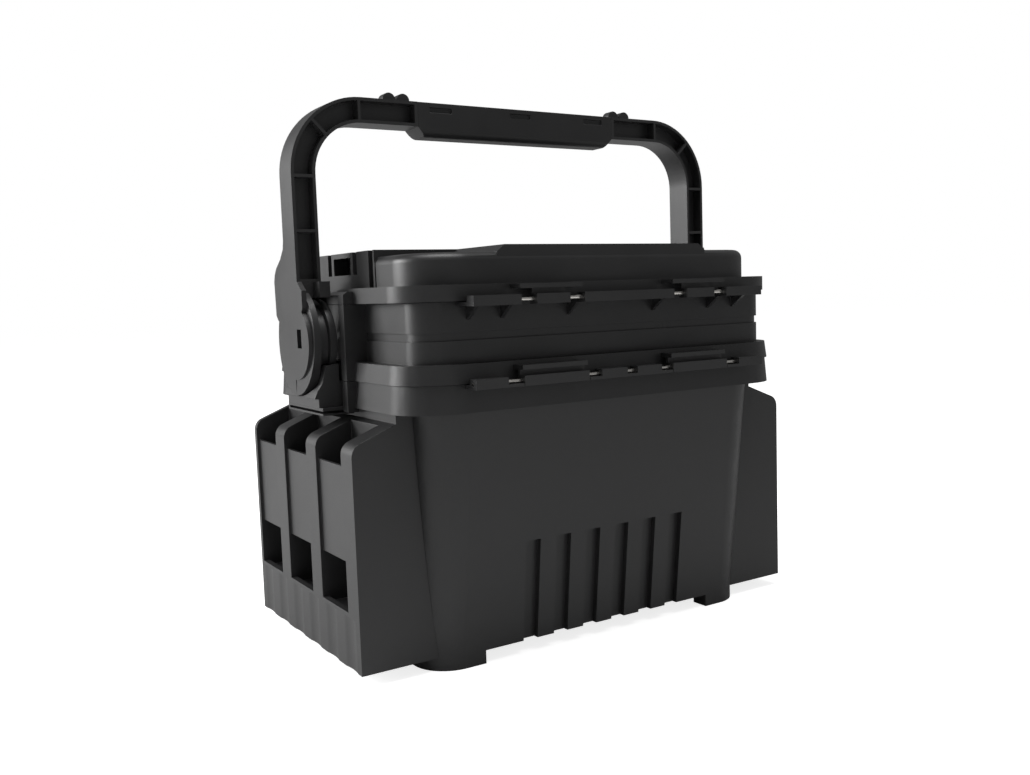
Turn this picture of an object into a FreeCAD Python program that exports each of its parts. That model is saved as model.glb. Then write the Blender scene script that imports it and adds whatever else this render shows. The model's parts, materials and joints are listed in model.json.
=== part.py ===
import FreeCAD, Part
import math
import os

os.makedirs("parts", exist_ok=True)

# Fishing seat box. Millimetres, +Z up. X runs along the long side, the latches
# face -Y and the hinges face +Y. The origin is on the floor under the middle.

# Walls and gaps
wall = 3.0
seam_gap = 0.4
pin_radius = 1.5
pin_running_gap = 0.05
edge_round = 7.0

# Feet and bucket
foot_height = 10.5
bucket_height = 223.0
bucket_top_half_length = 168.0
bucket_top_half_depth = 140.0
bucket_top_corner = 37.0
bucket_floor_half_length = 163.0
bucket_floor_half_depth = 116.0
bucket_floor_corner = 30.0
bucket_skirt_height = 21.0

# Rims that stack on each other
rim_past_bucket_x = 18.0
rim_past_bucket_y = 8.0
rim_corner = 39.0
rim_draft = 1.8

# Grooves low on the long walls
groove_count = 6
groove_pitch = 29.5
groove_width = 13.4
groove_top = 93.5
groove_depth = 5.0

# Feet
foot_block_x = 124.0
foot_block_length = 17.0
foot_block_depth = 16.0
foot_pad_start = 132.0
foot_pad_width = 12.0

# Tool racks on the two ends
rack_past_rim = 31.0
rack_half_depth = 108.3
rack_shoulder_drop = 42.8
rack_shoulder_round = 10.5
rack_back_inset = 5.4
rack_back_drop = 28.7
pocket_count = 3
pocket_width = 50.0
pocket_pitch = 70.5
pocket_centre_y = -7.5
pocket_floor = 50.0
pocket_panel_recess = 2.5
panel_drop = 16.2
window_bottom = 54.0
window_top = 91.5
flute_count = 6
flute_radius = 60.0
flute_depth = 1.1

# Tray
tray_height = 59.3
tray_inset_x = 12.0
tray_inset_y = 11.0
tray_corner = 21.0
tray_skirt_height = 14.3
tray_groove_bottom = 31.0
tray_groove_height = 6.0
tray_groove_depth = 1.6
divider_x = 58.0
divider_thickness = 2.4
divider_height = 46.0
divider_slot_gap = 0.3
divider_guide = 2.5

# Seat lid
lid_rim_inset_x = 2.3
lid_rim_inset_y = 2.0
lid_rim_corner = 39.0
lid_rim_height = 12.0
lid_dome_inset_x = 15.0
lid_dome_inset_y = 13.0
lid_dome_corner = 42.0
lid_dome_height = 35.9
lid_seat_rise = 5.3
lid_seat_half_length = 97.0
lid_seat_bevel = 7.0
lid_seat_inset = 1.0
lid_band_half_width = 62.0
lid_drip_width = 3.7
lid_recess_depth = 12.0
lid_recess_ledge = 23.3
lid_wide_cell_half = 17.2
lid_wide_cell_height = 13.9
lid_narrow_cell = (22.0, 29.4)
lid_end_grooves = ((52.0, 60.0), (63.0, 65.0))
lid_end_groove_depth = 3.0
lid_gap_wall = 3.0
lid_shelf_bottom = 7.4
lid_shelf_top = 9.9
lid_shelf_bevel = 4.0
lid_rib_count = 4
lid_rib_spread = 2.4
lid_rib_height = 14.0

# Guard posts on the ends
post_past_rim = 6.0
post_inner_y = 38.0
post_width = 10.0
post_foot_drop = 24.0

# Hinges
hinge_past_rim = 9.0
hinge_axis_above_seam = 0.5
bar_past_axis = 5.2
bar_inside_axis = 4.5
bar_half_length = 142.0
bar_above_axis = 3.6
bar_below_seam = 3.4
lower_leaf = (42.0, 101.0)
upper_leaf = (45.0, 101.0)
upper_knuckle = (58.0, 88.0)
lower_bar_windows = ((-5.0, 5.0), (30.0, 42.0), (101.0, 115.0), (-42.0, -30.0), (-115.0, -101.0))
leaf_side_gap = 0.5
leaf_plate_above_seam = 8.3
leaf_plate_thickness = 3.4
leaf_past_axis = 3.0
leaf_web = 3.0
bar_window_depth = 1.2
upper_pin_ends = (38.0, 108.0)
gusset_height = 12.0
gusset_thickness = 3.0
gusset_end_gap = 8.0

# Latches on the front
latch_x = 90.0
latch_width = 56.0
latch_past_rim = 6.5
latch_axis_above_seam = 5.6
latch_drop = 33.0
latch_thickness = 3.6
latch_past_axis = 5.1
latch_lip_past_axis = 7.7
latch_lip_height = 3.0
latch_lip_slope = 6.0
latch_knuckle_radius = 3.6
latch_ear_width = 4.6
latch_side_gap = 0.4
latch_catch_gap = 0.4
latch_catch_height = 10.0
latch_catch_inset = 6.0
tray_catch_drop = 14.0
bucket_catch_drop = 6.0

# Carrying handle
hub_above_rim = 30.7
hub_boss_radius = 30.0
hub_boss_share = 0.61
hub_disc_half_width = 35.0
hub_disc_half_height = 42.5
hub_bore_radius = 6.0
hub_face_wall = 3.5
hub_pocket = (7.5, 16.5)
hub_pocket_half_height = 7.5
hub_pocket_rise = 3.3
hub_pocket_depth = 6.0
plateau_depth = 4.0
plateau_radius = 30.0
plateau_offset = 2.0
plateau_wing = 22.0
plateau_wing_heights = (27.3, 41.3, 48.3)
step_depth = 1.68
step_lean_y = 0.0552
step_lean_z = 0.04
leg_gap = 3.1
handle_above_hub = 195.3
handle_thickness = 20.4
handle_depth = 25.8
handle_outer_corner = 62.0
handle_flange = 2.6
handle_web = 4.8
handle_channel_above_hub = 50.3
handle_rib_thickness = 2.4
handle_ribs_above_hub = (88.3, 131.3)
handle_rib_x = 155.0
leg_foot_above_hub = 35.5
leg_lug_half_width = 26.0
leg_lug_height = 12.5
leg_lug_inset = 2.1
leg_lug_width = 9.0
shoulder_curve = ((12.9, 82.0), (14.5, 75.3), (22.0, 67.3), (32.7, 60.3), (37.0, 54.9), (38.8, 49.3))
shoulder_side = ((38.4, 39.3), (38.0, 27.3), (37.7, 21.6), (34.1, 17.8))
bracket_gap = 0.4
bracket_thickness = 5.5
bracket_radius = 34.0
bracket_half_width = 34.0
bracket_foot_drop = 20.0
cradle_steps = ((5.1, 32.7), (7.1, 25.5), (9.1, 18.5), (13.0, 13.4), (15.5, 8.0), (15.5, 7.2), (12.4, 6.8))
cradle_disc_gap = 0.6
cradle_boss_gap = 0.6
bracket_seat_height = 6.0
bracket_seat_half_width = 38.0
bracket_seat_past_post = 17.0
bracket_slit_height = 2.0
pivot_running_gap = 0.05

# Grip cover on the crossbar
grip_half_length = 102.0
grip_wall = 3.0
grip_drop = 8.0
grip_round_share = 0.75
grip_end_cut = 7.0
grip_slot_length = 21.0
grip_slot_height = 4.0
grip_slot_depth = 1.8
grip_slot_pitch = 80.0
grip_slot_below_top = 4.0
bump_x = (111.0, 124.0)
bump_radius = 5.8
bump_length = 9.0
bump_sink = 1.5

# Sizes worked out from the ones above
rim_half_length = bucket_top_half_length + rim_past_bucket_x
rim_half_depth = bucket_top_half_depth + rim_past_bucket_y
bucket_skirt_bottom = bucket_height - bucket_skirt_height
rack_bottom = foot_height
rack_reach = rim_half_length + rack_past_rim
rack_back_reach = rim_half_length - rack_back_inset
rack_shoulder = bucket_height - rack_shoulder_drop
rack_back_top = bucket_height - rack_back_drop
pocket_back = rim_half_length
panel_top = rack_shoulder - panel_drop
tray_half_length = rim_half_length - tray_inset_x
tray_half_depth = rim_half_depth - tray_inset_y
lid_rim_half_length = rim_half_length - lid_rim_inset_x
lid_rim_half_depth = rim_half_depth - lid_rim_inset_y
lid_dome_half_length = rim_half_length - lid_dome_inset_x
lid_dome_half_depth = rim_half_depth - lid_dome_inset_y
post_reach = rim_half_length + post_past_rim
post_foot = bucket_height - post_foot_drop
hinge_axis_y = rim_half_depth + hinge_past_rim
bar_reach = hinge_axis_y + bar_past_axis
bar_inner_y = hinge_axis_y - bar_inside_axis
leaf_reach = hinge_axis_y + leaf_past_axis
latch_axis_y = -rim_half_depth - latch_past_rim
latch_outer_y = latch_axis_y - latch_past_axis
latch_lip_y = latch_axis_y - latch_lip_past_axis
tray_bottom = bucket_height + seam_gap
tray_top = tray_bottom + tray_height
lid_bottom = tray_top + seam_gap
lid_rim_top = lid_bottom + lid_rim_height
lid_top = lid_bottom + lid_dome_height
lower_axis_z = bucket_height + hinge_axis_above_seam
upper_axis_z = tray_top + hinge_axis_above_seam
bracket_foot = bucket_height - bracket_foot_drop
bracket_seat_reach = post_reach + bracket_seat_past_post
bracket_inner_x = post_reach + bracket_gap
bracket_outer_x = bracket_inner_x + bracket_thickness
hub_z = bucket_height + hub_above_rim
hub_inner_x = bracket_outer_x + bracket_gap
leg_inner_x = post_reach + leg_gap
handle_half_width = leg_inner_x + handle_thickness
handle_top = hub_z + handle_above_hub
plateau_x = handle_half_width - plateau_depth
disc_x = hub_inner_x + hub_boss_share * (plateau_x - hub_inner_x)
big = 600.0
oval_points = 16


def box(x0, x1, y0, y1, z0, z1):
    return Part.makeBox(x1 - x0, y1 - y0, z1 - z0, FreeCAD.Vector(x0, y0, z0))


def rounded_outline(half_x, half_y, radius, z):
    """Closed outline of a rectangle with round corners, level at height z."""
    edges = []
    ix = half_x - radius
    iy = half_y - radius
    diagonal = radius * math.sqrt(0.5)
    corners = ((ix, -iy, 1, -1), (ix, iy, 1, 1), (-ix, iy, -1, 1), (-ix, -iy, -1, -1))
    ends = []
    for cx, cy, sx, sy in corners:
        side = FreeCAD.Vector(cx + sx * radius, cy, z)
        cap = FreeCAD.Vector(cx, cy + sy * radius, z)
        middle = FreeCAD.Vector(cx + sx * diagonal, cy + sy * diagonal, z)
        first, last = (cap, side) if sx * sy < 0 else (side, cap)
        edges.append(Part.Arc(first, middle, last).toShape())
        ends.append((first, last))
    for index in range(4):
        start = ends[index][1]
        stop = ends[(index + 1) % 4][0]
        edges.append(Part.LineSegment(start, stop).toShape())
    return Part.Wire(Part.__sortEdges__(edges))


def rounded_slab(half_x, half_y, radius, z0, z1):
    face = Part.Face(rounded_outline(half_x, half_y, radius, z0))
    return face.extrude(FreeCAD.Vector(0, 0, z1 - z0))


def rounded_cup(low, high, z0, z1):
    """Drafted block between two rounded rectangles, each half_x, half_y, radius."""
    bottom = rounded_outline(low[0], low[1], low[2], z0)
    top = rounded_outline(high[0], high[1], high[2], z1)
    return Part.makeLoft([bottom, top], True, True)


def prism(points, direction):
    """Flat polygon pushed along a direction."""
    corners = [FreeCAD.Vector(*point) for point in points]
    face = Part.Face(Part.makePolygon(corners + corners[:1]))
    return face.extrude(FreeCAD.Vector(*direction))


def rod_x(radius, x0, x1, y, z):
    return Part.makeCylinder(radius, x1 - x0, FreeCAD.Vector(x0, y, z), FreeCAD.Vector(1, 0, 0))


def oval_x(half_y, half_z, x0, x1):
    """Oval plate centred on the handle's axis."""
    points = []
    for index in range(oval_points):
        angle = 2 * math.pi * index / oval_points
        points.append(FreeCAD.Vector(x0, half_y * math.cos(angle), hub_z + half_z * math.sin(angle)))
    curve = Part.BSplineCurve()
    curve.interpolate(points, True)
    face = Part.Face(Part.Wire([curve.toShape()]))
    return face.extrude(FreeCAD.Vector(x1 - x0, 0, 0))


def mirror_x(shape):
    return shape.mirror(FreeCAD.Vector(0, 0, 0), FreeCAD.Vector(1, 0, 0))


def mirror_y(shape):
    return shape.mirror(FreeCAD.Vector(0, 0, 0), FreeCAD.Vector(0, 1, 0))


def both_ways(shapes, mirror):
    return list(shapes) + [mirror(shape) for shape in shapes]


def fuse(shapes):
    return shapes[0].multiFuse(shapes[1:]).removeSplitter()


def cut(shape, tools):
    return shape.cut(fuse(tools))


def save(name, shape):
    shape.exportStep("parts/%s.step" % name)


def bucket_wall_y(z):
    """Outer half depth of the drafted bucket at a height."""
    share = (z - foot_height) / (bucket_height - foot_height)
    return bucket_floor_half_depth + share * (bucket_top_half_depth - bucket_floor_half_depth)


def bucket_outside():
    low = (bucket_floor_half_length, bucket_floor_half_depth, bucket_floor_corner)
    high = (bucket_top_half_length, bucket_top_half_depth, bucket_top_corner)
    return rounded_cup(low, high, foot_height, bucket_height)


def bucket_inside():
    share = wall / (bucket_height - foot_height)
    low_x = bucket_floor_half_length + share * (bucket_top_half_length - bucket_floor_half_length)
    low = (low_x - wall, bucket_wall_y(foot_height + wall) - wall, bucket_floor_corner - wall)
    high = (bucket_top_half_length - wall, bucket_top_half_depth - wall, bucket_top_corner - wall)
    return rounded_cup(low, high, foot_height + wall, bucket_height)


def groove_tool(x, depth, half_width, top):
    """Slot that follows the sloping long wall, from under the floor up to a height."""
    low = foot_height - 1
    points = ((x - half_width, bucket_wall_y(low) - depth, low),
              (x - half_width, bucket_wall_y(top) - depth, top),
              (x - half_width, bucket_wall_y(top) + big / 10, top),
              (x - half_width, bucket_wall_y(low) + big / 10, low))
    return prism(points, (2 * half_width, 0, 0))


def groove_centres():
    first = -groove_pitch * (groove_count - 1) / 2
    return [first + groove_pitch * index for index in range(groove_count)]


def foot():
    """One foot at the +X +Y corner: a block by the long wall and a pad round the corner."""
    edge_y = bucket_floor_half_depth
    x0 = foot_block_x - foot_block_length / 2
    block = box(x0, x0 + foot_block_length, edge_y - foot_block_depth, edge_y, 0, foot_height)
    ring = rounded_slab(bucket_floor_half_length, edge_y, bucket_floor_corner, 0, foot_height)
    hole = rounded_slab(bucket_floor_half_length - foot_pad_width, edge_y - foot_pad_width,
                        bucket_floor_corner - foot_pad_width, 0, foot_height)
    quarter = box(foot_pad_start, big, edge_y - bucket_floor_corner - foot_pad_width, big, 0, foot_height)
    return [block, ring.cut(hole).common(quarter)]


def hinge_bar(root_y, seam, spans):
    """Bar of a hinge: a shelf out of the wall with knuckles standing on it."""
    pieces = []
    axis_z = seam + hinge_axis_above_seam
    for start, stop in spans:
        shelf_bottom = seam - bar_below_seam
        pieces.append(box(start, stop, root_y - wall, bar_reach, shelf_bottom, seam - seam_gap))
        pieces.append(box(start, stop, bar_inner_y, bar_reach, shelf_bottom, axis_z + bar_above_axis))
    return pieces


def hinge_leaf(root_y, seam, leaf, knuckle):
    """Leaf of a hinge: a plate above the bar with a knuckle hanging down to the pin."""
    axis_z = seam + hinge_axis_above_seam
    plate_z = seam + leaf_plate_above_seam
    knuckle_bottom = seam - bar_below_seam
    return [box(leaf[0], leaf[1], root_y - wall, leaf_reach, plate_z, plate_z + leaf_plate_thickness),
            box(knuckle[0], knuckle[1], bar_inner_y, bar_inner_y + leaf_web, axis_z, plate_z),
            box(knuckle[0], knuckle[1], bar_inner_y, bar_reach, knuckle_bottom, axis_z + bar_above_axis)]


def gusset(x, root_y, top):
    """Triangle under a shelf on the rear wall."""
    root = root_y - wall / 2
    points = ((x, root, top), (x, bar_inner_y, top), (x, root, top - gusset_height))
    return prism(points, (gusset_thickness, 0, 0))


def rim_skirt(z0, z1):
    """Rim of the bucket or tray: a top plate with a skirt that leans out a little."""
    low = (rim_half_length, rim_half_depth, rim_corner)
    high = (rim_half_length - rim_draft, rim_half_depth - rim_draft, rim_corner - rim_draft)
    inner_low = tuple(size - wall for size in low)
    inner_high = tuple(size - wall for size in high)
    return rounded_cup(low, high, z0, z1).cut(rounded_cup(inner_low, inner_high, z0, z1 - wall))


def guard_post(inner_x, z0, z1):
    """Upright guard at the +X end on the +Y side of the hub."""
    return box(inner_x, post_reach, post_inner_y, post_inner_y + post_width, z0, z1)


def latch_places():
    return (-latch_x, latch_x)


def latch_ears(x, wall_y, seam):
    """Two ears that hold a latch pin, out of the front wall at wall_y."""
    axis_z = seam + latch_axis_above_seam
    ears = []
    inner = latch_width / 2 + latch_side_gap
    for side in (-1, 1):
        near = x + side * inner
        far = x + side * (inner + latch_ear_width)
        ear = box(min(near, far), max(near, far), latch_axis_y, wall_y + wall,
                  axis_z - latch_knuckle_radius, axis_z + latch_knuckle_radius)
        ears.append(ear)
        ears.append(rod_x(latch_knuckle_radius, min(near, far), max(near, far), latch_axis_y, axis_z))
    return ears


def latch_bore(x, seam, radius):
    reach = latch_width / 2 + latch_side_gap + latch_ear_width + 1
    return rod_x(radius, x - reach, x + reach, latch_axis_y, seam + latch_axis_above_seam)


def latch_catch(x, wall_y, top):
    """Catch block that the latch lies against."""
    face_y = latch_outer_y + latch_thickness + latch_catch_gap
    half = latch_width / 2 - latch_catch_inset
    low = top - latch_catch_height
    points = ((x - half, wall_y, top), (x - half, face_y, top - wall), (x - half, face_y, low),
              (x - half, wall_y, low - wall))
    return prism(points, (2 * half, 0, 0))


def make_bucket():
    grooves = [groove_tool(x, groove_depth, groove_width / 2, groove_top) for x in groove_centres()]
    jackets = [groove_tool(x, groove_depth + wall, groove_width / 2 + wall, groove_top + wall)
               for x in groove_centres()]
    inside = cut(bucket_inside(), both_ways(jackets, mirror_y))
    skirt = rim_skirt(bucket_skirt_bottom, bucket_height)
    ends = []
    seat_inner = rim_half_length - wall
    seat = box(seat_inner, bracket_seat_reach, -bracket_seat_half_width, bracket_seat_half_width,
               bracket_foot - bracket_seat_height, bracket_foot)
    slit_bottom = bracket_foot - bracket_seat_height + wall / 2
    slit = box(rim_half_length, bracket_seat_reach, -post_inner_y + wall, post_inner_y + 1,
               slit_bottom, slit_bottom + bracket_slit_height)
    post = guard_post(rim_half_length - wall, post_foot, bucket_height)
    ends += [seat.cut(slit), post, mirror_y(post)]
    feet = foot()
    feet = both_ways(feet, mirror_x)
    feet = both_ways(feet, mirror_y)
    solid_spans = ((-bar_half_length, -lower_leaf[1] - leaf_side_gap),
                   (-lower_leaf[0] + leaf_side_gap, lower_leaf[0] - leaf_side_gap),
                   (lower_leaf[1] + leaf_side_gap, bar_half_length))
    bar = hinge_bar(rim_half_depth, bucket_height, solid_spans)
    catch_top = bucket_height - bucket_catch_drop
    catches = [latch_catch(x, -rim_half_depth + wall / 2, catch_top) for x in latch_places()]
    body = fuse([bucket_outside(), skirt] + both_ways(ends, mirror_x) + feet + bar + catches)
    window_floor = bucket_height - bar_window_depth
    windows = [box(x0, x1, bar_inner_y - 1, bar_reach + 1, window_floor, bucket_height + big / 10)
               for x0, x1 in lower_bar_windows]
    bore = rod_x(pin_radius, -bar_half_length - 1, bar_half_length + 1, hinge_axis_y, lower_axis_z)
    return cut(body, [inside] + both_ways(grooves, mirror_y) + windows + [bore])


def rack_profile():
    """Side outline of a rack at the +X end, extruded across its depth."""
    slope = math.atan2(rack_back_top - rack_shoulder, rack_reach - rack_back_reach)
    turn = math.pi / 2 - slope
    tangent = rack_shoulder_round * math.tan(turn / 2)
    centre_x = rack_reach - rack_shoulder_round
    centre_z = rack_shoulder - tangent
    half = slope + turn / 2
    y = -rack_half_depth
    start = FreeCAD.Vector(rack_reach, y, centre_z)
    middle = FreeCAD.Vector(centre_x + rack_shoulder_round * math.cos(turn / 2), y,
                            centre_z + rack_shoulder_round * math.sin(turn / 2))
    stop = FreeCAD.Vector(centre_x + rack_shoulder_round * math.sin(slope), y,
                          centre_z + rack_shoulder_round * math.cos(slope))
    inner_x = bucket_floor_half_length - bucket_floor_corner
    top = bucket_height - wall
    points = [stop, FreeCAD.Vector(rack_back_reach, y, rack_back_top),
              FreeCAD.Vector(rack_back_reach, y, top), FreeCAD.Vector(inner_x, y, top),
              FreeCAD.Vector(inner_x, y, rack_bottom),
              FreeCAD.Vector(rack_reach, y, rack_bottom), start]
    edges = [Part.Arc(start, middle, stop).toShape()]
    edges += [Part.LineSegment(a, b).toShape() for a, b in zip(points, points[1:])]
    face = Part.Face(Part.Wire(Part.__sortEdges__(edges)))
    return face.extrude(FreeCAD.Vector(0, 2 * rack_half_depth, 0))


def pocket_centres():
    first = pocket_centre_y - pocket_pitch * (pocket_count - 1) / 2
    return [first + pocket_pitch * index for index in range(pocket_count)]


def make_rack():
    """Tool rack at the +X end: three open pockets with a low window each."""
    block = rack_profile()
    tools = [bucket_outside()]
    inner_x = bucket_floor_half_length - bucket_floor_corner
    skin = rack_half_depth - wall
    panel_face = rack_reach - pocket_panel_recess
    panel_back = panel_face - wall
    back_wall = pocket_back - wall
    tools.append(box(inner_x, rack_reach - wall, -skin, skin, rack_bottom, pocket_floor - wall))
    tools.append(box(inner_x, back_wall, -skin, skin, rack_bottom, rack_back_top - 2 * wall))
    for y in pocket_centres():
        y0 = y - pocket_width / 2
        y1 = y + pocket_width / 2
        tools.append(box(pocket_back, panel_back, y0, y1, pocket_floor, big))
        tools.append(box(pocket_back, big, y0, y1, panel_top, big))
        tools.append(box(panel_face, big, y0, y1, window_bottom, big))
        tools.append(box(panel_back - 1, big, y0, y1, window_bottom, window_top))
    first = -rack_half_depth + rack_half_depth / flute_count
    for index in range(flute_count):
        y = first + 2 * rack_half_depth / flute_count * index
        centre = FreeCAD.Vector(rack_reach + flute_radius - flute_depth, y, rack_bottom)
        tools.append(Part.makeCylinder(flute_radius, window_bottom - rack_bottom - wall, centre))
    return cut(block, tools)


def make_tray():
    shell = rounded_slab(tray_half_length, tray_half_depth, tray_corner, tray_bottom, tray_top)
    hollow = rounded_slab(tray_half_length - wall, tray_half_depth - wall, tray_corner - wall,
                          tray_bottom + wall, tray_top)
    groove_z = tray_bottom + tray_groove_bottom
    band = box(-big, big, -big, big, groove_z, groove_z + tray_groove_height)
    kept = rounded_slab(tray_half_length - tray_groove_depth, tray_half_depth - tray_groove_depth,
                        tray_corner - tray_groove_depth, groove_z, groove_z + tray_groove_height)
    shell = shell.cut(band.cut(kept))
    skirt_top = tray_bottom + tray_skirt_height
    skirt = rim_skirt(tray_bottom, skirt_top)
    guides = []
    gap = divider_thickness / 2 + divider_slot_gap
    guide_y = tray_half_depth - wall - divider_guide
    for x in (-divider_x, divider_x):
        for side in (-1, 1):
            x0 = x + side * gap if side > 0 else x - gap - divider_guide
            guides.append(box(x0, x0 + divider_guide, guide_y, tray_half_depth - wall / 2,
                              tray_bottom + wall / 2, tray_bottom + divider_height))
    guides = both_ways(guides, mirror_y)
    post = guard_post(tray_half_length - wall / 2, tray_bottom, tray_top)
    posts = both_ways(both_ways([post], mirror_y), mirror_x)
    spans = ((-bar_half_length, -upper_leaf[1] - leaf_side_gap),
             (-upper_leaf[0] + leaf_side_gap, upper_leaf[0] - leaf_side_gap),
             (upper_leaf[1] + leaf_side_gap, bar_half_length))
    bar = hinge_bar(tray_half_depth, tray_top, spans)
    bar_top = tray_top - bar_below_seam
    gusset_places = (upper_leaf[0] - gusset_thickness - 1, upper_leaf[1] + 1,
                     bar_half_length - gusset_thickness - gusset_end_gap)
    supports = [gusset(x, tray_half_depth, bar_top + 1) for x in gusset_places]
    supports = both_ways(supports, mirror_x)
    leaf = hinge_leaf(rim_half_depth, bucket_height, lower_leaf, lower_leaf)
    leaves = both_ways(leaf, mirror_x)
    ears = []
    for x in latch_places():
        ears += latch_ears(x, -rim_half_depth, bucket_height)
        ears.append(latch_catch(x, -tray_half_depth + wall / 2, tray_top - tray_catch_drop))
    body = fuse([shell, skirt] + posts + bar + supports + leaves + ears)
    body = fuse([body.cut(hollow)] + guides)
    free_radius = pin_radius + pin_running_gap
    bores = [rod_x(free_radius, lower_leaf[0] - 1, lower_leaf[1] + 1, hinge_axis_y, lower_axis_z)]
    bores.append(rod_x(pin_radius, upper_pin_ends[0], upper_pin_ends[1], hinge_axis_y, upper_axis_z))
    bores = both_ways(bores, mirror_x)
    bores += [latch_bore(x, bucket_height, pin_radius) for x in latch_places()]
    return cut(body, bores)


def make_divider(x):
    half = tray_half_depth - wall - divider_slot_gap
    return box(x - divider_thickness / 2, x + divider_thickness / 2, -half, half,
               tray_bottom + wall, tray_bottom + divider_height)


def seat_profile(half_y, drop):
    """Raised middle of the seat, bevelled at both ends. Drop lowers it for the inner face."""
    foot = lid_top - edge_round - drop
    edge = lid_top - drop
    crown = edge + lid_seat_rise
    end = lid_seat_half_length + lid_seat_bevel
    points = ((-end, -half_y, foot), (-end, -half_y, edge), (-lid_seat_half_length, -half_y, crown),
              (lid_seat_half_length, -half_y, crown), (end, -half_y, edge), (end, -half_y, foot))
    return prism(points, (0, 2 * half_y, 0))


def seat_band(half_x, half_y, drop):
    """Raised band that runs along the lid to both ends."""
    edge = lid_top - drop
    return box(-half_x, half_x, -half_y, half_y, edge - edge_round, edge + lid_seat_rise)


def top_edges(shape, z):
    """Edges that lie wholly on one level."""
    found = []
    for edge in shape.Edges:
        if abs(edge.BoundBox.ZMin - z) < 1e-4 and abs(edge.BoundBox.ZMax - z) < 1e-4:
            found.append(edge)
    return found


def lid_end_cuts():
    """Cells and grooves in the lid's +X end, and the gap in its rim between the posts."""
    ledge = lid_bottom + lid_recess_ledge
    cell_x = lid_dome_half_length - lid_recess_depth
    groove_x = lid_dome_half_length - lid_end_groove_depth
    wide = box(cell_x, big, -lid_wide_cell_half, lid_wide_cell_half, ledge, ledge + lid_wide_cell_height)
    paired = [box(cell_x, big, lid_narrow_cell[0], lid_narrow_cell[1], ledge, big)]
    paired += [box(groove_x, big, y0, y1, lid_rim_top, big) for y0, y1 in lid_end_grooves]
    gap = box(lid_dome_half_length + lid_gap_wall, big, -post_inner_y, post_inner_y, lid_bottom - 1, big)
    return [wide, gap] + both_ways(paired, mirror_y)


def lid_end_backing():
    """Material kept inside the lid's +X end, behind the cells and the shallow grooves."""
    low = lid_bottom + lid_recess_ledge - wall
    cell_back = lid_dome_half_length - lid_recess_depth - wall
    groove_back = lid_dome_half_length - lid_end_groove_depth - wall
    cell_half = lid_narrow_cell[1] + wall
    groove_half = lid_end_grooves[-1][1] + wall
    return [box(cell_back, big, -cell_half, cell_half, low, big),
            box(groove_back, big, -groove_half, groove_half, lid_bottom - 1, big)]


def lid_shelf():
    """Thin bevelled shelf that tops the posts at the lid's +X end."""
    low = lid_bottom + lid_shelf_bottom
    high = lid_bottom + lid_shelf_top
    half = post_inner_y + post_width
    root = lid_dome_half_length - wall
    points = ((root, -half, low), (post_reach, -half, low), (post_reach - lid_shelf_bevel, -half, high),
              (root, -half, high))
    return prism(points, (0, 2 * half, 0))


def make_lid():
    rim = rounded_slab(lid_rim_half_length, lid_rim_half_depth, lid_rim_corner, lid_bottom, lid_rim_top)
    dome = rounded_slab(lid_dome_half_length, lid_dome_half_depth, lid_dome_corner, lid_bottom, lid_top)
    dome = dome.makeFillet(edge_round, top_edges(dome, lid_top))
    seat = seat_profile(lid_dome_half_depth - lid_seat_inset, 0)
    band = seat_band(lid_dome_half_length, lid_band_half_width, 0)
    post = guard_post(lid_rim_half_length - wall, lid_bottom, lid_bottom + lid_shelf_bottom)
    posts = both_ways(both_ways([post], mirror_y), mirror_x)
    leaves = both_ways(hinge_leaf(lid_rim_half_depth, tray_top, upper_leaf, upper_knuckle), mirror_x)
    ears = []
    for x in latch_places():
        ears += latch_ears(x, -lid_rim_half_depth, tray_top)
    skin = fuse([rim, dome, seat, band])
    body = fuse([skin] + posts + leaves + ears)
    hollow_x = lid_dome_half_length - wall
    hollow_y = lid_dome_half_depth - wall
    hollow_corner = lid_dome_corner - wall
    mouth = rounded_slab(hollow_x, hollow_y, hollow_corner, lid_bottom, lid_top - wall)
    seat_hollow = seat_profile(hollow_y - lid_seat_inset, wall)
    band_hollow = seat_band(hollow_x, lid_band_half_width - wall, wall)
    inside = cut(fuse([mouth, seat_hollow, band_hollow]), both_ways(lid_end_backing(), mirror_x))
    drip_outer = rounded_slab(lid_rim_half_length - wall, lid_rim_half_depth - wall, lid_rim_corner - wall,
                              lid_bottom, lid_rim_top - wall)
    drip_inner = rounded_slab(lid_rim_half_length - wall - lid_drip_width,
                              lid_rim_half_depth - wall - lid_drip_width,
                              lid_rim_corner - wall - lid_drip_width, lid_bottom, lid_rim_top - wall)
    tools = [inside, drip_outer.cut(drip_inner)]
    tools += both_ways(lid_end_cuts(), mirror_x)
    free_radius = pin_radius + pin_running_gap
    bores = [rod_x(free_radius, upper_leaf[0] - 1, upper_leaf[1] + 1, hinge_axis_y, upper_axis_z)]
    tools += both_ways(bores, mirror_x)
    tools += [latch_bore(x, tray_top, pin_radius) for x in latch_places()]
    body = cut(body, tools)
    ribs = []
    rib_y = hollow_y - 1
    rib_bottom = lid_top - wall - lid_rib_height
    for index in range(lid_rib_count):
        x = hollow_x * (index - (lid_rib_count - 1) / 2) / lid_rib_spread
        ribs.append(box(x - wall / 2, x + wall / 2, -rib_y, rib_y, rib_bottom, big).common(skin))
    return fuse([body] + ribs + both_ways([lid_shelf()], mirror_x))


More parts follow.
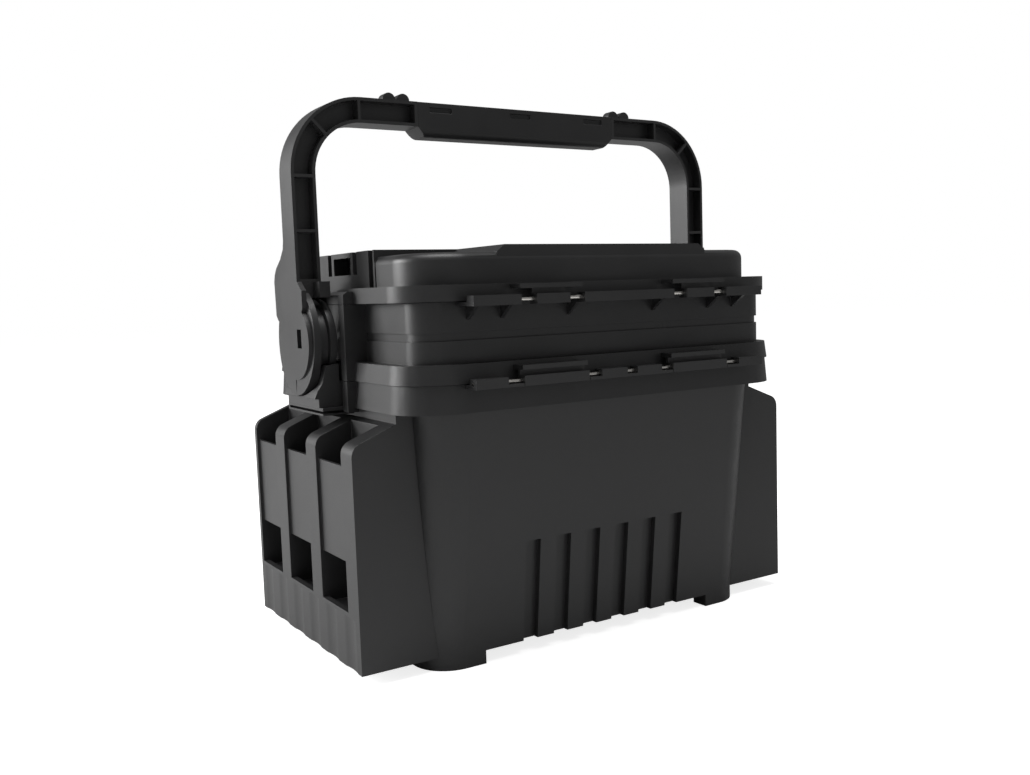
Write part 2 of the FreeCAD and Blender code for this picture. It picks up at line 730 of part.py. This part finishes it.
def make_latch(x, seam):
    axis_z = seam + latch_axis_above_seam
    half = latch_width / 2
    bottom = axis_z - latch_drop
    inner_y = latch_outer_y + latch_thickness
    plate = box(x - half, x + half, latch_outer_y, inner_y, bottom, axis_z)
    knuckle = rod_x(latch_knuckle_radius, x - half, x + half, latch_axis_y, axis_z)
    neck = box(x - half, x + half, latch_outer_y, latch_axis_y, axis_z - latch_knuckle_radius, axis_z)
    shoulder = rod_x(-latch_outer_y + latch_axis_y, x - half, x + half, latch_axis_y, axis_z)
    front = box(x - half, x + half, -big, latch_axis_y, axis_z - wall / 6, big)
    lip_top = bottom + latch_lip_height
    slope_top = lip_top + latch_lip_slope
    points = ((x - half, latch_outer_y, slope_top), (x - half, latch_lip_y, lip_top),
              (x - half, latch_lip_y, bottom), (x - half, inner_y, bottom), (x - half, inner_y, slope_top))
    lip = prism(points, (2 * half, 0, 0))
    body = fuse([plate, knuckle, neck, shoulder.common(front), lip])
    return body.cut(rod_x(pin_radius + pin_running_gap, x - half - 1, x + half + 1, latch_axis_y, axis_z))


def make_latch_pin(x, seam):
    reach = latch_width / 2 + latch_side_gap + latch_ear_width
    return rod_x(pin_radius, x - reach, x + reach, latch_axis_y, seam + latch_axis_above_seam)


def make_bracket():
    """Bearing bracket at the +X end: a round-topped plate in a stepped cradle."""
    plate = rod_x(bracket_radius, bracket_inner_x, bracket_outer_x, 0, hub_z)
    stem = box(bracket_inner_x, bracket_outer_x, -bracket_half_width, bracket_half_width, bracket_foot,
               hub_z - bracket_radius / 2)
    foot_block = box(rim_half_length, bracket_outer_x, -bracket_half_width, bracket_half_width, bracket_foot,
                     bucket_height - seam_gap)
    front = [(bracket_inner_x, bracket_foot), (bracket_inner_x, bracket_foot + cradle_steps[0][1])]
    front += [(bracket_outer_x + out, bracket_foot + up) for out, up in cradle_steps]
    front.append((bracket_outer_x + cradle_steps[-1][0], bracket_foot))
    cradle = prism([(x, -bracket_half_width, z) for x, z in front], (0, 2 * bracket_half_width, 0))
    body = fuse([plate, stem, foot_block, cradle])
    disc_room = rod_x(hub_disc_half_height + cradle_disc_gap, disc_x - cradle_disc_gap, big, 0, hub_z)
    boss_room = rod_x(hub_boss_radius + cradle_boss_gap, bracket_outer_x, big, 0, hub_z)
    bore = rod_x(hub_bore_radius, bracket_inner_x - 1, bracket_outer_x + 1, 0, hub_z)
    return cut(body, [disc_room, boss_room, bore])


def make_pivot_pin():
    return rod_x(hub_bore_radius, bracket_inner_x, handle_half_width - hub_face_wall - seam_gap, 0, hub_z)


def hoop(inset, y0, y1):
    """Flat hoop area of the handle, drawn in by inset, between two depths."""
    half = handle_half_width - inset
    top = handle_top - inset
    radius = handle_outer_corner - inset
    slab = rounded_slab(half, top, radius, y0, y1)
    turned = slab.copy()
    turned.rotate(FreeCAD.Vector(0, 0, 0), FreeCAD.Vector(1, 0, 0), 90)
    lifted = turned.common(box(-big, big, -big, big, hub_z, big))
    return lifted


def handle_ribs():
    """Cross ribs left standing in the channels, for the +X side."""
    half = handle_rib_thickness / 2
    heights = [hub_z + above for above in handle_ribs_above_hub]
    ribs = [box(0, big, -big, big, z - half, z + half) for z in heights]
    inside_z = handle_top - 2 * handle_thickness
    ribs.append(box(handle_rib_x - half, handle_rib_x + half, -big, big, inside_z, big))
    diagonal = box(0, big, -big, big, -half, half)
    diagonal.rotate(FreeCAD.Vector(0, 0, 0), FreeCAD.Vector(0, 1, 0), -45)
    corner = handle_outer_corner
    diagonal.translate(FreeCAD.Vector(handle_half_width - corner, 0, handle_top - corner))
    ribs.append(diagonal)
    return both_ways(ribs, mirror_x)


def plateau_outline():
    """Outline of the raised outer face of the hub, as pairs of Y and height above the hub."""
    low, high, tip = plateau_wing_heights
    right = [(handle_depth / 2, shoulder_curve[0][1]), (handle_depth / 2, tip), (plateau_wing, high),
             (plateau_wing, low), (0, 0)]
    left = [(-y, up) for y, up in shoulder_curve + shoulder_side]
    return right + left[::-1]


def step_tool():
    """What is cut off the hub's outer face on the +Y side, so that it fades in at the bottom."""
    reach = 2 * hub_disc_half_height
    top = plateau_wing_heights[1]
    corners = []
    for y, up in ((0, -reach), (reach, -reach), (reach, top), (0, top)):
        depth = step_depth + step_lean_y * y + step_lean_z * up
        corners.append((handle_half_width - depth, y, hub_z + up))
    sheet = prism(corners, (plateau_depth + wall, 0, 0))
    arc = rod_x(plateau_radius, leg_inner_x, big, plateau_offset, hub_z)
    raised = prism([(leg_inner_x, y, hub_z + up) for y, up in plateau_outline()], (big, 0, 0))
    return cut(sheet, [arc, raised])


def hub_plate():
    """Hub end of the +X leg: boss, oval disc, raised outer face and the leg's foot."""
    boss = rod_x(hub_boss_radius, hub_inner_x, disc_x + 1, 0, hub_z)
    disc = oval_x(hub_disc_half_width, hub_disc_half_height, disc_x, handle_half_width)
    raised = prism([(plateau_x, y, hub_z + up) for y, up in plateau_outline()], (plateau_depth, 0, 0))
    foot_z = hub_z + leg_foot_above_hub
    neck = box(disc_x, plateau_x + 1, -handle_depth / 2, handle_depth / 2, hub_z, foot_z + leg_lug_height)
    lug_x = leg_inner_x - leg_lug_inset
    lug = box(lug_x, lug_x + leg_lug_width, -leg_lug_half_width, leg_lug_half_width, foot_z,
              foot_z + leg_lug_height)
    return fuse([boss, disc, raised, neck, lug])


def make_handle():
    depth = handle_depth / 2
    channel_foot = hub_z + handle_channel_above_hub
    frame = hoop(0, -depth, depth).cut(hoop(handle_thickness, -depth, depth))
    frame = frame.cut(box(-big, big, -big, big, 0, hub_z + leg_foot_above_hub))
    hubs = both_ways([hub_plate().cut(step_tool())], mirror_x)
    channel = hoop(handle_flange, handle_web / 2, depth).cut(
        hoop(handle_thickness - handle_flange, handle_web / 2, depth))
    channel = channel.cut(box(-big, big, -big, big, 0, channel_foot))
    channel = channel.cut(box(-grip_half_length - wall, grip_half_length + wall, -big, big, hub_z, big))
    channel = channel.cut(fuse(handle_ribs()))
    bumps = []
    for x in bump_x:
        place = FreeCAD.Vector(x, -bump_length / 2, handle_top + bump_sink)
        bump = Part.makeCylinder(bump_radius, bump_length, place, FreeCAD.Vector(0, 1, 0))
        bumps.append(bump.common(box(0, big, -big, big, handle_top - 1, big)))
    body = fuse([frame] + hubs + both_ways(bumps, mirror_x))
    bore_end = handle_half_width - hub_face_wall
    bore = rod_x(hub_bore_radius + pivot_running_gap, hub_inner_x - 1, bore_end, 0, hub_z)
    pocket_z = hub_z + hub_pocket_rise
    pocket = box(handle_half_width - hub_pocket_depth, big, hub_pocket[0], hub_pocket[1],
                 pocket_z - hub_pocket_half_height, pocket_z + hub_pocket_half_height)
    grip_zone = box(-grip_half_length, grip_half_length, -big, big, handle_top - handle_thickness - 1, big)
    core = box(-grip_half_length, grip_half_length, -depth + grip_wall, depth - grip_wall,
               handle_top - handle_thickness + grip_wall, handle_top - grip_wall)
    tools = both_ways([channel], mirror_y) + both_ways([bore, pocket], mirror_x) + [grip_zone.cut(core)]
    return cut(body, tools)


def make_grip():
    depth = handle_depth / 2
    low = handle_top - handle_thickness
    bottom = low - grip_drop
    points = ((-grip_half_length, -depth, handle_top), (grip_half_length, -depth, handle_top),
              (grip_half_length, -depth, low), (grip_half_length - grip_end_cut, -depth, bottom),
              (-grip_half_length + grip_end_cut, -depth, bottom), (-grip_half_length, -depth, low))
    body = prism(points, (0, 2 * depth, 0))
    long_edges = [edge for edge in top_edges(body, bottom)
                  if edge.BoundBox.XMax - edge.BoundBox.XMin > grip_half_length]
    body = body.makeFillet(grip_drop * grip_round_share, long_edges)
    core = box(-grip_half_length, grip_half_length, -depth + grip_wall, depth - grip_wall,
               low + grip_wall, handle_top - grip_wall)
    slots = []
    slot_top = handle_top - grip_slot_below_top
    slot_half = grip_slot_length / 2
    for x in (-grip_slot_pitch, 0, grip_slot_pitch):
        slots.append(box(x - slot_half, x + slot_half, depth - grip_slot_depth, depth + 1,
                         slot_top - grip_slot_height, slot_top))
    return cut(body, [core] + both_ways(slots, mirror_y))


def make_lower_pin():
    return rod_x(pin_radius, -bar_half_length + 1, bar_half_length - 1, hinge_axis_y, lower_axis_z)


def make_upper_pin():
    return rod_x(pin_radius, upper_pin_ends[0], upper_pin_ends[1], hinge_axis_y, upper_axis_z)


save("bucket", make_bucket())
rack = make_rack()
save("tool_rack_right", rack)
save("tool_rack_left", mirror_x(rack))
save("tray", make_tray())
save("tray_divider_right", make_divider(divider_x))
save("tray_divider_left", make_divider(-divider_x))
save("seat_lid", make_lid())
save("lower_hinge_pin", make_lower_pin())
upper_pin = make_upper_pin()
save("upper_hinge_pin_right", upper_pin)
save("upper_hinge_pin_left", mirror_x(upper_pin))
for side, place in (("left", -latch_x), ("right", latch_x)):
    save("lid_latch_" + side, make_latch(place, tray_top))
    save("lid_latch_pin_" + side, make_latch_pin(place, tray_top))
    save("tray_latch_" + side, make_latch(place, bucket_height))
    save("tray_latch_pin_" + side, make_latch_pin(place, bucket_height))
bracket = make_bracket()
save("handle_bracket_right", bracket)
save("handle_bracket_left", mirror_x(bracket))
pivot = make_pivot_pin()
save("handle_pivot_pin_right", pivot)
save("handle_pivot_pin_left", mirror_x(pivot))
save("carrying_handle", make_handle())
save("grip_cover", make_grip())
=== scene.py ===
import bpy
import bmesh
import json
import math
from mathutils import Matrix, Vector

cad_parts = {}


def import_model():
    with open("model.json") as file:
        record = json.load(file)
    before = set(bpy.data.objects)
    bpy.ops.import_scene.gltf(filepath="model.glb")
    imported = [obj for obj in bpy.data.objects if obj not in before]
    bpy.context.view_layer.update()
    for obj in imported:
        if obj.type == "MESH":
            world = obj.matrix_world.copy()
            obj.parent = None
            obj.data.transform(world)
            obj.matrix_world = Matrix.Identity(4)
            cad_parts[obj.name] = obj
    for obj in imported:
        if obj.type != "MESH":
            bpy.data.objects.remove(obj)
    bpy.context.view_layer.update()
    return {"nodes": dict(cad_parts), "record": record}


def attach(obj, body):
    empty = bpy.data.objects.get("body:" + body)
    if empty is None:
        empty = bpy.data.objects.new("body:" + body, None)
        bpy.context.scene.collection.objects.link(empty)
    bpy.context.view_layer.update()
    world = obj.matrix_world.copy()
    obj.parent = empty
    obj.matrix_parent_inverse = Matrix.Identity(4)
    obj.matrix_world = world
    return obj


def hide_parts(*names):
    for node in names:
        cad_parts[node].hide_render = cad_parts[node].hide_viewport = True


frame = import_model()

# Camera, in metres and degrees
CAMERA_PLACE = Vector((0.5027, 0.7813, 0.2882))
CAMERA_HEADING = math.radians(32.39)
CAMERA_DIP = math.radians(5.37)
CAMERA_ROLL = math.radians(-1.93)
CAMERA_LENS = 35.42
SENSOR_WIDTH = 36.0
NEAREST_SEEN = 0.05
FURTHEST_SEEN = 60.0

# Floor and light, in metres and watts
FLOOR_SIZE = 30.0
FLOOR_GLOW = 0.8
STUDIO_GREY = (0.8, 0.8, 0.8, 1)
WHITE = (1, 1, 1, 1)
SURROUND_STRENGTH = 0.31
END_WINDOW = {"place": (1.9, -1.35, 0.9), "aim": (0.2, 0, 0.2), "size": (1.2, 1.2), "power": 52.0}
TOP_SOFTBOX = {"place": (0.2, 0.3, 2.2), "aim": (0, 0, 0.2), "size": (1.6, 0.8), "power": 34.0}

# Rounding of the moulded edges, in metres
EDGE_SOFTNESS = 0.0006
SOFTNESS = {"seat_lid": 0.0012, "carrying_handle": 0.0005}
SAME_POINT = 0.000002
FLAT_ANGLE = math.radians(1.0)
SHARP_ANGLE = math.radians(32.0)
ROUND_STEPS = 2
FLAT_FACE_WEIGHT = 80

# Sockets of the colour mix node, which share their names with its other kinds
MIX_FIRST = 6
MIX_SECOND = 7
MIX_RESULT = 2

# Plastics: how dark and how pale the black gets, its roughness and the depth of its grain
BLUE_TINT = 0.0005
PLASTICS = {
    "bucket_plastic": {"black": (0.015, 0.020), "rough": (0.40, 0.50), "grain": 0.00006},
    "tray_plastic": {"black": (0.015, 0.020), "rough": (0.38, 0.48), "grain": 0.00005},
    "lid_plastic": {"black": (0.015, 0.020), "rough": (0.36, 0.46), "grain": 0.00005},
    "latch_plastic": {"black": (0.014, 0.018), "rough": (0.36, 0.44), "grain": 0.00004},
    "handle_plastic": {"black": (0.018, 0.023), "rough": (0.36, 0.44), "grain": 0.00005},
    "grip_plastic": {"black": (0.011, 0.015), "rough": (0.45, 0.55), "grain": 0.00008},
}
SWELL_DEPTH = 0.0006
STEEL_DARK = (0.55, 0.53, 0.50)
STEEL_PALE = (0.80, 0.78, 0.74)
STEEL_ROUGH = (0.18, 0.34)
DRAWING_MARKS = (60.0, 2600.0, 2600.0)


def camera():
    """Camera at the photograph's viewpoint, behind the box and off its right end."""
    ahead = Vector((-math.sin(CAMERA_HEADING) * math.cos(CAMERA_DIP),
                    -math.cos(CAMERA_HEADING) * math.cos(CAMERA_DIP), -math.sin(CAMERA_DIP)))
    level = Vector((-math.cos(CAMERA_HEADING), math.sin(CAMERA_HEADING), 0.0))
    upright = level.cross(ahead)
    side = math.cos(CAMERA_ROLL) * level + math.sin(CAMERA_ROLL) * upright
    top = -math.sin(CAMERA_ROLL) * level + math.cos(CAMERA_ROLL) * upright
    data = bpy.data.cameras.new("photo_camera")
    data.lens = CAMERA_LENS
    data.sensor_width = SENSOR_WIDTH
    data.clip_start = NEAREST_SEEN
    data.clip_end = FURTHEST_SEEN
    obj = bpy.data.objects.new("photo_camera", data)
    turn = Matrix((side, top, -ahead)).transposed().to_4x4()
    obj.matrix_world = Matrix.Translation(CAMERA_PLACE) @ turn
    bpy.context.collection.objects.link(obj)
    bpy.context.scene.camera = obj


class Finish:
    """Small helper that builds one procedural material node by node."""

    def __init__(self, name):
        self.material = bpy.data.materials.new(name)
        self.material.use_nodes = True
        self.tree = self.material.node_tree
        self.shader = self.tree.nodes["Principled BSDF"]
        self.place = self.add("ShaderNodeTexCoord").outputs["Object"]

    def add(self, kind, **settings):
        node = self.tree.nodes.new(kind)
        for key, value in settings.items():
            setattr(node, key, value)
        return node

    def link(self, source, target):
        self.tree.links.new(source, target)

    def paint(self, source, socket):
        """Feeds a pattern into one of the shader's own sockets."""
        self.link(source, self.shader.inputs[socket])

    def noise(self, scale, detail, roughness=0.5, place=None):
        node = self.add("ShaderNodeTexNoise")
        node.inputs["Scale"].default_value = scale
        node.inputs["Detail"].default_value = detail
        node.inputs["Roughness"].default_value = roughness
        self.link(place or self.place, node.inputs["Vector"])
        return node.outputs["Fac"]

    def stretched(self, scales):
        """Object coordinates drawn out along X, Y and Z."""
        node = self.add("ShaderNodeMapping")
        node.inputs["Scale"].default_value = scales
        self.link(self.place, node.inputs["Vector"])
        return node.outputs["Vector"]

    def spread(self, source, taken, given):
        node = self.add("ShaderNodeMapRange")
        for word, pair in (("From", taken), ("To", given)):
            node.inputs[word + " Min"].default_value = pair[0]
            node.inputs[word + " Max"].default_value = pair[1]
        self.link(source, node.inputs["Value"])
        return node.outputs["Result"]

    def total(self, first, second):
        node = self.add("ShaderNodeMath", operation="ADD")
        self.link(first, node.inputs[0])
        self.link(second, node.inputs[1])
        return node.outputs["Value"]

    def blend(self, factor, first, second):
        node = self.add("ShaderNodeMix", data_type="RGBA")
        self.link(factor, node.inputs["Factor"])
        node.inputs[MIX_FIRST].default_value = (*first, 1.0)
        node.inputs[MIX_SECOND].default_value = (*second, 1.0)
        return node.outputs[MIX_RESULT]

    def bump(self, height, distance, strength, below=None):
        node = self.add("ShaderNodeBump")
        node.inputs["Strength"].default_value = strength
        node.inputs["Distance"].default_value = distance
        self.link(height, node.inputs["Height"])
        if below is not None:
            self.link(below, node.inputs["Normal"])
        return node.outputs["Normal"]


def near_black(level):
    return (level, level, level + BLUE_TINT)


def moulded_plastic(name, black, rough, grain):
    """Black moulded plastic: spark texture, slow gloss changes, faint flow marks."""
    f = Finish(name)
    mottle = f.noise(scale=14.0, detail=5.0, roughness=0.6)
    patches = f.spread(mottle, taken=(0.35, 0.65), given=(0.0, 1.0))
    f.paint(f.blend(patches, near_black(black[0]), near_black(black[1])), "Base Color")
    fine = f.noise(scale=900.0, detail=2.0)
    slow_gloss = f.spread(mottle, taken=(0.3, 0.7), given=rough)
    fine_gloss = f.spread(fine, taken=(0.3, 0.7), given=(-0.02, 0.02))
    f.paint(f.total(slow_gloss, fine_gloss), "Roughness")
    spark = f.noise(scale=1500.0, detail=2.0, roughness=0.6)
    swell = f.noise(scale=9.0, detail=2.0, roughness=0.4)
    waves = f.bump(swell, SWELL_DEPTH, strength=0.25)
    f.paint(f.bump(spark, grain, strength=0.6, below=waves), "Normal")
    f.shader.inputs["Specular IOR Level"].default_value = 0.5
    return f.material


def drawn_steel():
    """Bright steel wire with fine drawing marks along its length."""
    f = Finish("drawn_steel")
    marks = f.noise(scale=1.0, detail=2.0, place=f.stretched(DRAWING_MARKS))
    f.paint(f.blend(marks, STEEL_DARK, STEEL_PALE), "Base Color")
    f.paint(f.spread(marks, taken=(0.2, 0.8), given=STEEL_ROUGH), "Roughness")
    f.shader.inputs["Metallic"].default_value = 1.0
    return f.material


def clean_copy(node):
    """Copy of a CAD node's mesh with its flat faces joined up again."""
    mesh = frame["nodes"][node].data.copy()
    mesh.name = node + "_softened"
    work = bmesh.new()
    work.from_mesh(mesh)
    bmesh.ops.remove_doubles(work, verts=work.verts, dist=SAME_POINT)
    bmesh.ops.dissolve_limit(work, angle_limit=FLAT_ANGLE, verts=work.verts, edges=work.edges)
    for face in work.faces:
        face.smooth = True
    work.to_mesh(mesh)
    work.free()
    return mesh


def softened(node, material):
    """Moulding round a CAD node, with its sharp edges rounded as a mould leaves them."""
    mesh = clean_copy(node)
    mesh.materials.clear()
    mesh.materials.append(material)
    piece = bpy.data.objects.new(node + "_moulding", mesh)
    bpy.context.collection.objects.link(piece)
    bevel = piece.modifiers.new("soft_edges", "BEVEL")
    bevel.width = SOFTNESS.get(node, EDGE_SOFTNESS)
    bevel.segments = ROUND_STEPS
    bevel.limit_method = "ANGLE"
    bevel.angle_limit = SHARP_ANGLE
    bevel.use_clamp_overlap = True
    flat = piece.modifiers.new("flat_faces", "WEIGHTED_NORMAL")
    flat.weight = FLAT_FACE_WEIGHT
    bpy.context.view_layer.update()
    depsgraph = bpy.context.evaluated_depsgraph_get()
    final = bpy.data.meshes.new_from_object(piece.evaluated_get(depsgraph))
    final.name = node + "_moulding"
    piece.modifiers.clear()
    piece.data = final
    return piece


def floor_paper():
    """White paper whose glow is for the camera alone."""
    paper = bpy.data.materials.new("floor_paper")
    paper.use_nodes = True
    tree = paper.node_tree
    tree.nodes.clear()
    out = tree.nodes.new("ShaderNodeOutputMaterial")
    matte = tree.nodes.new("ShaderNodeBsdfDiffuse")
    matte.inputs["Color"].default_value = STUDIO_GREY
    glow = tree.nodes.new("ShaderNodeEmission")
    path = tree.nodes.new("ShaderNodeLightPath")
    strength = tree.nodes.new("ShaderNodeMath")
    strength.operation = "MULTIPLY"
    strength.inputs[1].default_value = FLOOR_GLOW
    tree.links.new(path.outputs["Is Camera Ray"], strength.inputs[0])
    tree.links.new(strength.outputs[0], glow.inputs["Strength"])
    both = tree.nodes.new("ShaderNodeAddShader")
    tree.links.new(matte.outputs[0], both.inputs[0])
    tree.links.new(glow.outputs[0], both.inputs[1])
    tree.links.new(both.outputs[0], out.inputs["Surface"])
    return paper


def stage():
    """Plain white floor that keeps the box's shadow."""
    mesh = bpy.data.meshes.new("studio_floor")
    half = FLOOR_SIZE / 2
    corners = [(-half, -half, 0), (half, -half, 0), (half, half, 0), (-half, half, 0)]
    mesh.from_pydata(corners, [], [(0, 1, 2, 3)])
    floor = bpy.data.objects.new("studio_floor", mesh)
    bpy.context.collection.objects.link(floor)
    mesh.materials.append(floor_paper())


def world():
    """Soft grey surround for the light, white where the camera looks past the box."""
    scene = bpy.context.scene
    scene.world = bpy.data.worlds.new("studio")
    scene.world.use_nodes = True
    tree = scene.world.node_tree
    back = tree.nodes["Background"]
    back.inputs["Color"].default_value = STUDIO_GREY
    back.inputs["Strength"].default_value = SURROUND_STRENGTH
    clean = tree.nodes.new("ShaderNodeBackground")
    clean.inputs["Color"].default_value = WHITE
    path = tree.nodes.new("ShaderNodeLightPath")
    mix = tree.nodes.new("ShaderNodeMixShader")
    tree.links.new(path.outputs["Is Camera Ray"], mix.inputs["Fac"])
    tree.links.new(back.outputs[0], mix.inputs[1])
    tree.links.new(clean.outputs[0], mix.inputs[2])
    tree.links.new(mix.outputs[0], tree.nodes["World Output"].inputs["Surface"])


def lamp(name, place, aim, size, power):
    data = bpy.data.lights.new(name, "AREA")
    data.energy = power
    data.shape = "RECTANGLE"
    data.size = size[0]
    data.size_y = size[1]
    obj = bpy.data.objects.new(name, data)
    obj.location = place
    obj.rotation_euler = (Vector(aim) - Vector(place)).to_track_quat("-Z", "Y").to_euler()
    bpy.context.collection.objects.link(obj)


camera()
stage()
world()
lamp("end_window", **END_WINDOW)
lamp("top_softbox", **TOP_SOFTBOX)
bpy.context.scene.view_settings.view_transform = "Standard"

finishes = {name: moulded_plastic(name, **looks) for name, looks in PLASTICS.items()}
finishes["steel"] = drawn_steel()
body_of = {}
for body, members in frame["record"]["behaviour"]["bodies"].items():
    for member in members:
        body_of[member] = body
for entry in frame["record"]["subparts"]:
    node = entry["node"]
    slot = entry["material_slot"]
    if slot == "steel":
        obj = frame["nodes"][node]
        obj.data.materials.clear()
        obj.data.materials.append(finishes[slot])
        continue
    piece = softened(node, finishes[slot])
    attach(piece, body_of[node])
    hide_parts(node)
